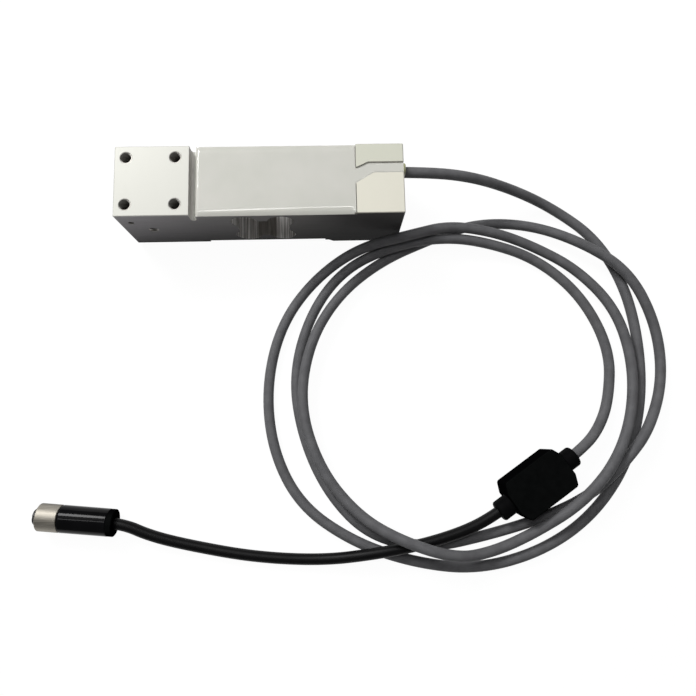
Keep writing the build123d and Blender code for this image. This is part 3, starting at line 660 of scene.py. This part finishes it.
def falling(distance, run, drop):
    """A drop at distance 0 that fades out over the run."""
    return drop * np.clip(1.0 - distance / run, 0.0, 1.0) ** 2


# The pad's form in millimetres: slopes at distances from its long edges, then its other edges
PAD_STEP = 0.5
EDGE_PLACES = [0.0, 2.5, 3.5, 4.3]
EDGE_SLOPES = [0.476, 0.108, 0.073, 0.0]
EDGE_SAMPLES = 173
EDGE_ROWS = [0.0, 0.15, 0.35, 0.6, 0.9, 1.3, 1.7, 2.1, 2.5, 2.75, 3.0, 3.25, 3.5, 3.8, 4.1, 4.3]
NARROW_START = 47.0
NARROW_SHARE = 0.75
FAR_FROM_EDGE = 10.0  # beyond the lands' start there is no free long edge
LEFT_RUN = 1.7
LEFT_DROP = 0.6
CREASE_RUN = 0.7
CREASE_DROP = 0.5
PAD_LEAST = 0.12  # thinnest place
PAD_WAVE = 0.004
WAVE_SCALE = 0.12


def edge_fall(distance):
    """Drop near a free long edge: a shallow slope that holds a highlight, then a round."""
    steps = np.linspace(0.0, EDGE_PLACES[-1], EDGE_SAMPLES)
    slopes = np.interp(steps, EDGE_PLACES, EDGE_SLOPES)
    drops = np.concatenate([[0.0], np.cumsum((slopes[1:] + slopes[:-1]) / 2 * np.diff(steps))])
    return np.interp(distance, steps, drops[-1] - drops)


def pad_height(x, y):
    narrow = np.clip((x - NARROW_START) / (LAND_START - NARROW_START), 0.0, 1.0)
    narrow = narrow * narrow * (3.0 - 2.0 * narrow)
    side = np.where(x <= LAND_START, BODY_SIDE - np.abs(y), FAR_FROM_EDGE)
    height = SEAL_TOP - edge_fall(side / (1.0 - NARROW_SHARE * narrow))
    height -= falling(x - RECESS_LEFT, LEFT_RUN, LEFT_DROP)
    height -= falling(land_distance(x, y), CREASE_RUN, CREASE_DROP) * inside_pad(x, y)
    return np.maximum(height, RECESS_FLOOR + PAD_LEAST)


def sealant_pad(materials):
    """The poured pad: rounded at its free edges, creased where it meets the lands."""
    xs = np.unique(np.concatenate([
        np.arange(RECESS_LEFT, BODY_END, PAD_STEP), [BODY_END], RECESS_LEFT + np.arange(0, 1.6, 0.16),
        LAND_START - np.arange(0, 1.0, 0.16),
    ]))
    fine = BODY_SIDE - np.array(EDGE_ROWS)
    ys = np.unique(np.concatenate([np.arange(-14.5, 14.6, PAD_STEP), fine, -fine]))
    grid_x, grid_y = np.meshgrid(xs, ys, indexing="ij")
    grid_z = pad_height(grid_x, grid_y)
    reach = land_distance(grid_x, grid_y)
    kept = inside_pad(grid_x, grid_y) | (reach < PAD_STEP)
    shape = bmesh.new()
    verts = {}
    for i in range(len(xs)):
        for j in range(len(ys)):
            if kept[i, j]:
                spot = (grid_x[i, j] * WAVE_SCALE, grid_y[i, j] * WAVE_SCALE, 0.5)
                wave = PAD_WAVE * noise.noise(spot)
                place = (grid_x[i, j] * MM, grid_y[i, j] * MM, (grid_z[i, j] + wave) * MM)
                verts[i, j] = shape.verts.new(place)
    for i in range(len(xs) - 1):
        for j in range(len(ys) - 1):
            corners = [(i, j), (i + 1, j), (i + 1, j + 1), (i, j + 1)]
            if all(corner in verts for corner in corners):
                shape.faces.new([verts[corner] for corner in corners])
    loose = [vert for vert in shape.verts if not vert.link_faces]
    bmesh.ops.delete(shape, geom=loose, context="VERTS")
    lower = bmesh.ops.extrude_face_region(shape, geom=list(shape.faces))
    for item in lower["geom"]:
        if isinstance(item, bmesh.types.BMVert):
            item.co.z = RECESS_FLOOR * MM
    bmesh.ops.recalc_face_normals(shape, faces=list(shape.faces))
    mesh = bpy.data.meshes.new("sealant_pad")
    shape.to_mesh(mesh)
    shape.free()
    piece = add_piece("sealant_pad", mesh, "sealant", materials, smooth_angle=50)
    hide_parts("top_sealant")


CORNER_SINK = 0.2
CORNER_GAP = 0.002


def land_corner(materials):
    """The corner of the upper land beside the funnel."""
    outline = [UPPER_LAND[1], UPPER_LAND[2], (LAND_START, CHANNEL_BACK)]
    shape = bmesh.new()
    floor, roof = (
        [shape.verts.new((x * MM, y * MM, z * MM)) for x, y in outline]
        for z in (RECESS_FLOOR + CORNER_SINK, BODY_TOP - CORNER_GAP)
    )
    shape.faces.new(roof)
    shape.faces.new(floor[::-1])
    for i in range(3):
        shape.faces.new((floor[i], floor[(i + 1) % 3], roof[(i + 1) % 3], roof[i]))
    bmesh.ops.recalc_face_normals(shape, faces=list(shape.faces))
    mesh = bpy.data.meshes.new("land_corner")
    shape.to_mesh(mesh)
    shape.free()
    add_piece("land_corner", mesh, "anodised_aluminium", materials)


def thread_rings(radius, pitch, depth, shallow, place, turn, shape):
    """A closed sleeve whose inside carries the thread, from the hole's mouth down."""
    crest = radius - 0.54 * pitch
    rows = int(depth / pitch * THREAD_ROWS)
    frame_at = Matrix.Translation(Vector(place) * MM) @ turn
    inner, outer = [], []
    for row in range(rows + 1):
        z = -shallow - (depth - shallow) * row / rows
        ring_in, ring_out = [], []
        for step in range(THREAD_STEPS):
            angle = 2 * math.pi * step / THREAD_STEPS
            phase = (z / pitch + step / THREAD_STEPS) % 1.0
            wave = min(1.0, abs(phase - 0.5) * 2.6)
            depth_in = crest + (radius - crest) * wave
            for reach, ring in ((depth_in, ring_in), (radius + 0.02, ring_out)):
                local = Vector((reach * math.cos(angle), reach * math.sin(angle), z)) * MM
                ring.append(shape.verts.new(frame_at @ local))
        inner.append(ring_in)
        outer.append(ring_out)
    for row in range(rows):
        for step in range(THREAD_STEPS):
            after = (step + 1) % THREAD_STEPS
            below = row + 1
            shape.faces.new((inner[row][step], inner[below][step], inner[below][after], inner[row][after]))
            shape.faces.new((outer[row][step], outer[row][after], outer[below][after], outer[below][step]))
    for row in (0, rows):
        for step in range(THREAD_STEPS):
            after = (step + 1) % THREAD_STEPS
            shape.faces.new((inner[row][step], inner[row][after], outer[row][after], outer[row][step]))


def threads(name, size, places, turn, materials):
    """One piece with the threads of several holes of one size."""
    shape = bmesh.new()
    for place in places:
        thread_rings(*size, THREAD_START, place, turn, shape)
    bmesh.ops.recalc_face_normals(shape, faces=list(shape.faces))
    mesh = bpy.data.meshes.new(name)
    shape.to_mesh(mesh)
    shape.free()
    add_piece(name, mesh, "anodised_aluminium", materials, smooth_angle=40)


def all_threads(materials):
    square = [(i * HOLE_HALF_PITCH, j * HOLE_HALF_PITCH) for i in (-1, 1) for j in (-1, 1)]
    keep = Matrix.Identity(4)
    over = Matrix.Rotation(math.pi, 4, "X")
    front = Matrix.Rotation(math.pi / 2, 4, "X")
    load_end = [(-HOLE_CENTRE + x, y, BODY_TOP) for x, y in square]
    fixed_end = [(HOLE_CENTRE + x, y, 0.0) for x, y in square]
    threads("load_end_threads", M6, load_end, keep, materials)
    threads("fixed_end_threads", M6, fixed_end, over, materials)
    threads("side_hole_thread", M5, [(SIDE_HOLE_X, -BODY_SIDE, BEAM_MID_Z)], front, materials)


BEAD_CENTRE = Vector((BODY_END - 0.05, 6.0, 38.7))
BEAD_HALF = Vector((1.5, 3.0, 4.9))
BEAD_BOXINESS = 0.62
BEAD_LUMPS = 0.06
BEAD_LUMP_SCALE = 2.3


def exit_bead(materials):
    """The blob of compound where the cable leaves the beam."""
    shape = bmesh.new()
    bmesh.ops.create_uvsphere(shape, u_segments=48, v_segments=24, radius=1.0)
    for vert in shape.verts:
        unit = vert.co.copy()
        boxy = [math.copysign(abs(value) ** BEAD_BOXINESS, value) for value in unit]
        rough = BEAD_LUMPS * noise.noise(unit * BEAD_LUMP_SCALE)
        boxy[0] = max(0.0, boxy[0])
        vert.co = Vector([
            BEAD_CENTRE[i] + BEAD_HALF[i] * boxy[i] * (1.0 + rough) for i in range(3)
        ]) * MM
    mesh = bpy.data.meshes.new("exit_bead")
    shape.to_mesh(mesh)
    shape.free()
    piece = add_piece("exit_bead", mesh, "exit_compound", materials, smooth_angle=60)
    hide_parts("exit_seal")


def new_math(tree, operation, first, second):
    """A math node; a value is either a socket or a number."""
    made = tree.nodes.new("ShaderNodeMath")
    made.operation = operation
    for socket, value in zip(made.inputs, (first, second)):
        if isinstance(value, float):
            socket.default_value = value
        else:
            tree.links.new(value, socket)
    return made.outputs[0]


def new_blend(tree, factor, first, second):
    """The first shader at factor 0, the second at 1."""
    made = tree.nodes.new("ShaderNodeMixShader")
    for socket, value in zip(made.inputs, (factor, first, second)):
        tree.links.new(value, socket)
    return made.outputs[0]


def set_stage():
    """A pale floor that shows white to the camera and keeps a faint shadow."""
    half, level = FLOOR_HALF, FLOOR_LEVEL
    data = bpy.data.meshes.new("floor")
    corners = [(-half, -half, level), (half, -half, level), (half, half, level), (-half, half, level)]
    data.from_pydata(corners, [], [(0, 1, 2, 3)])
    floor = bpy.data.objects.new("floor", data)
    bpy.context.collection.objects.link(floor)
    surface = bpy.data.materials.new("pale_floor")
    surface.use_nodes = True
    tree = surface.node_tree
    tree.nodes.clear()
    paper = tree.nodes.new("ShaderNodeBsdfDiffuse")
    paper.inputs["Color"].default_value = (FLOOR_GREY, FLOOR_GREY, FLOOR_GREY, 1.0)
    glow = tree.nodes.new("ShaderNodeEmission")
    glow.inputs["Strength"].default_value = FLOOR_GLOW
    path = tree.nodes.new("ShaderNodeLightPath").outputs
    mirrored = new_math(tree, "MAXIMUM", path["Is Glossy Ray"], path["Is Transmission Ray"])
    seen = new_math(tree, "MAXIMUM", path["Is Camera Ray"], mirrored)
    share = new_math(tree, "MULTIPLY", seen, FLOOR_GLOW_SHARE)
    output = tree.nodes.new("ShaderNodeOutputMaterial")
    tree.links.new(new_blend(tree, share, paper.outputs[0], glow.outputs[0]), output.inputs["Surface"])
    data.materials.append(surface)


def set_world():
    """A dim white surround that the camera sees as full white."""
    world = bpy.data.worlds.new("studio")
    world.use_nodes = True
    tree = world.node_tree
    base = tree.nodes["Background"]
    base.inputs["Color"].default_value = (1.0, 1.0, 1.0, 1.0)
    base.inputs["Strength"].default_value = WORLD_STRENGTH
    white = tree.nodes.new("ShaderNodeBackground")
    white.inputs["Strength"].default_value = 1.0
    path = tree.nodes.new("ShaderNodeLightPath").outputs
    shown = new_blend(tree, path["Is Camera Ray"], base.outputs[0], white.outputs[0])
    tree.links.new(shown, tree.nodes["World Output"].inputs["Surface"])
    bpy.context.scene.world = world
    bpy.context.scene.view_settings.view_transform = "Standard"


set_camera()
set_world()
set_stage()
for light in LIGHTS:
    area_light(*light)
materials = make_materials()
dress_nodes(materials)
grey = cable_curve("grey_cable_line", GREY_ROUTE, GREY_RADIUS, "grey_jacket", "grey_cable", materials)
black = cable_curve("black_cable_line", BLACK_ROUTE, BLACK_RADIUS, "black_jacket", "black_cable", materials)
sealant_pad(materials)
land_corner(materials)
all_threads(materials)
exit_bead(materials)
